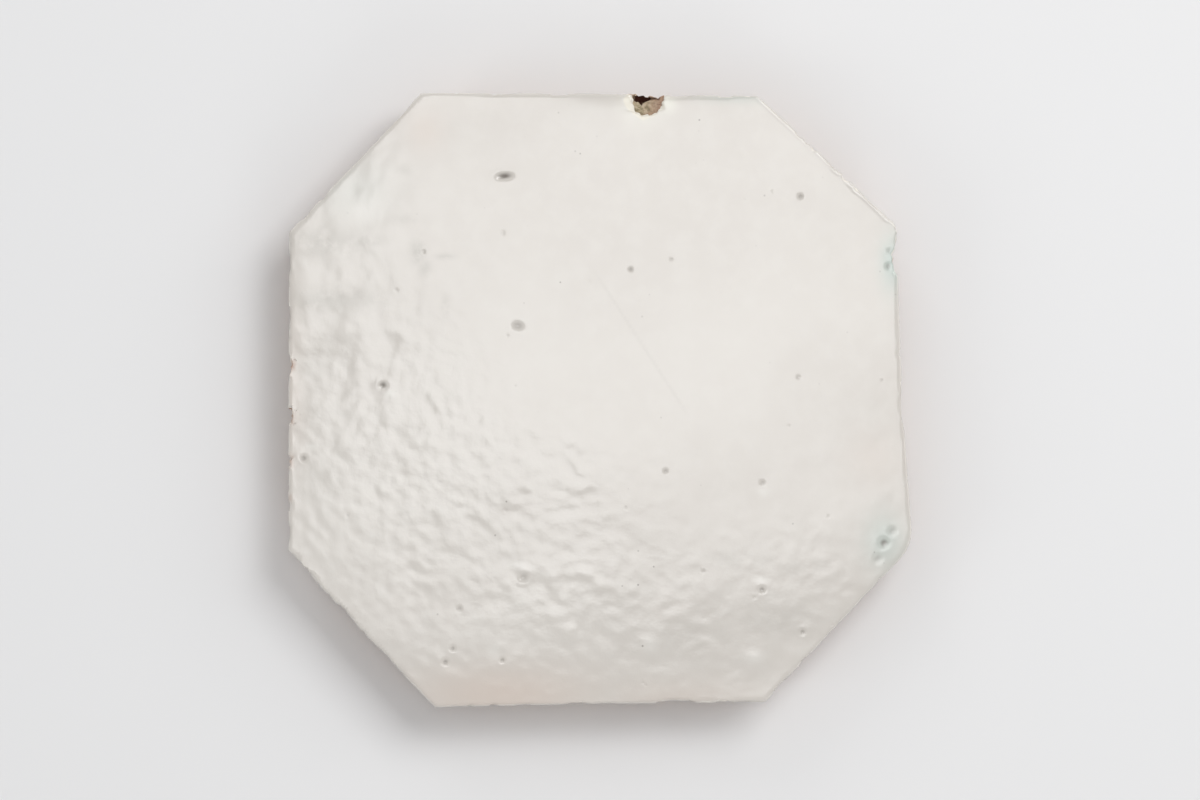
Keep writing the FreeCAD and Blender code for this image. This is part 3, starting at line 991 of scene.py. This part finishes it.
def make_floor(look):
    """The pale floor that the tile lies on."""
    mesh = bpy.data.meshes.new("floor")
    shape = bmesh.new()
    bmesh.ops.create_grid(shape, x_segments=1, y_segments=1, size=look.floor_size / 2)
    shape.to_mesh(mesh)
    shape.free()
    mesh.materials.append(floor_material(look))
    floor = bpy.data.objects.new("floor", mesh)
    bpy.context.scene.collection.objects.link(floor)


# Height in metres from one of the softbox's disks to the next
SOFTBOX_STEP = 0.005
# The softbox dims towards its rim: disks that add up, with their size and share of the radiance
SOFTBOX_DISKS = ((0.78, 0.12), (0.95, 0.20), (1.08, 0.20), (1.20, 0.20), (1.33, 0.15), (1.50, 0.13))

# Where the side lamp hangs, in metres, and the bearings, rise and width of the low lamps round the tile
KEY_PLACE = (0.42, 0.45, 0.85)
WINDOW_BEARINGS = (22.0, 112.0, 202.0, 292.0)
WINDOW_RISE = 0.55
WINDOW_SIZE = 0.8


def make_lamp(name, place, target, shape, size, power):
    """A soft lamp at a place, turned to its target."""
    lamp = bpy.data.lights.new(name, "AREA")
    lamp.shape = shape
    lamp.size = size
    lamp.energy = power
    holder = bpy.data.objects.new(name, lamp)
    holder.location = place
    holder.rotation_euler = (Vector(target) - Vector(place)).to_track_quat("-Z", "Y").to_euler()
    holder.visible_camera = False
    bpy.context.scene.collection.objects.link(holder)


def make_world(look):
    """Even light from all round, and a pale backdrop for the camera."""
    world = bpy.data.worlds.new("studio")
    bpy.context.scene.world = world
    table = NodeTable(world)
    rays = table.add("ShaderNodeLightPath", "Rays")
    seen = table.math("Seen", "MAXIMUM", rays.outputs["Is Camera Ray"], rays.outputs["Is Glossy Ray"])
    strength = table.lerp("Backdrop", seen, look.sky, look.backdrop)
    background = table.add("ShaderNodeBackground", "Sky", Color=(1.0, 1.0, 1.0), Strength=strength)
    table.add("ShaderNodeOutputWorld", "Output", Surface=background.outputs["Background"])


# Size of the picture in pixels
PICTURE_WIDTH = 1200
PICTURE_HEIGHT = 800


def make_camera(look):
    """Straight down on the tile, as the photograph looks."""
    camera = bpy.data.cameras.new("camera")
    height = (TILE_HIGH.y - TILE_LOW.y) / look.frame_share
    width = height * PICTURE_WIDTH / PICTURE_HEIGHT
    camera.lens = camera.sensor_width * look.camera_height / width
    holder = bpy.data.objects.new("camera", camera)
    holder.location = (0.0, 0.0, TILE_HIGH.z + look.camera_height)
    bpy.context.scene.collection.objects.link(holder)
    bpy.context.scene.camera = holder


class TILE_OT_studio(bpy.types.Operator):
    """Set the floor, the lamps, the sky and the camera"""

    bl_idname = "tile.studio"
    bl_label = "Studio"

    def execute(self, context):
        look = context.scene.studio_look
        context.scene.view_settings.view_transform = "Standard"
        make_floor(look)
        make_world(look)
        for number, (growth, share) in enumerate(SOFTBOX_DISKS):
            radius = look.box_radius * growth
            power = share * look.box_radiance * (math.pi * radius) ** 2
            above = (look.box_x, look.box_y, look.box_height + SOFTBOX_STEP * number)
            make_lamp(f"softbox_{number}", above, (*above[:2], 0.0), "DISK", 2 * radius, power)
        middle = (0.0, 0.0, 0.0)
        make_lamp("key", KEY_PLACE, middle, "SQUARE", look.key_size, look.key_power)
        for number, bearing in enumerate(WINDOW_BEARINGS):
            turn = math.radians(bearing)
            side = Vector((math.cos(turn), math.sin(turn), WINDOW_RISE)) * look.window_away
            make_lamp(f"window_{number}", side, middle, "SQUARE", WINDOW_SIZE, look.window_power)
        make_camera(look)
        return {"FINISHED"}


class TILE_PT_panel(bpy.types.Panel):
    """Lists the tile's and the studio's operators and sizes"""

    bl_label = "Octagon Tile"
    bl_idname = "TILE_PT_panel"
    bl_space_type = "VIEW_3D"
    bl_region_type = "UI"
    bl_category = "Tile"

    def draw(self, context):
        layout = self.layout
        for group, operator in (
            (context.scene.tile_look, TILE_OT_glazed_tile),
            (context.scene.studio_look, TILE_OT_studio),
        ):
            layout.operator(operator.bl_idname)
            for name in group.__annotations__:
                layout.prop(group, name)


CLASSES = (TileLook, StudioLook, TILE_OT_glazed_tile, TILE_OT_studio, TILE_PT_panel)


def register():
    for kind in CLASSES:
        bpy.utils.register_class(kind)
    bpy.types.Scene.tile_look = PointerProperty(type=TileLook)
    bpy.types.Scene.studio_look = PointerProperty(type=StudioLook)


def unregister():
    del bpy.types.Scene.studio_look
    del bpy.types.Scene.tile_look
    for kind in reversed(CLASSES):
        bpy.utils.unregister_class(kind)


def main():
    register()
    bpy.ops.tile.glazed_tile()
    bpy.ops.tile.studio()


if __name__ == "__main__":
    main()
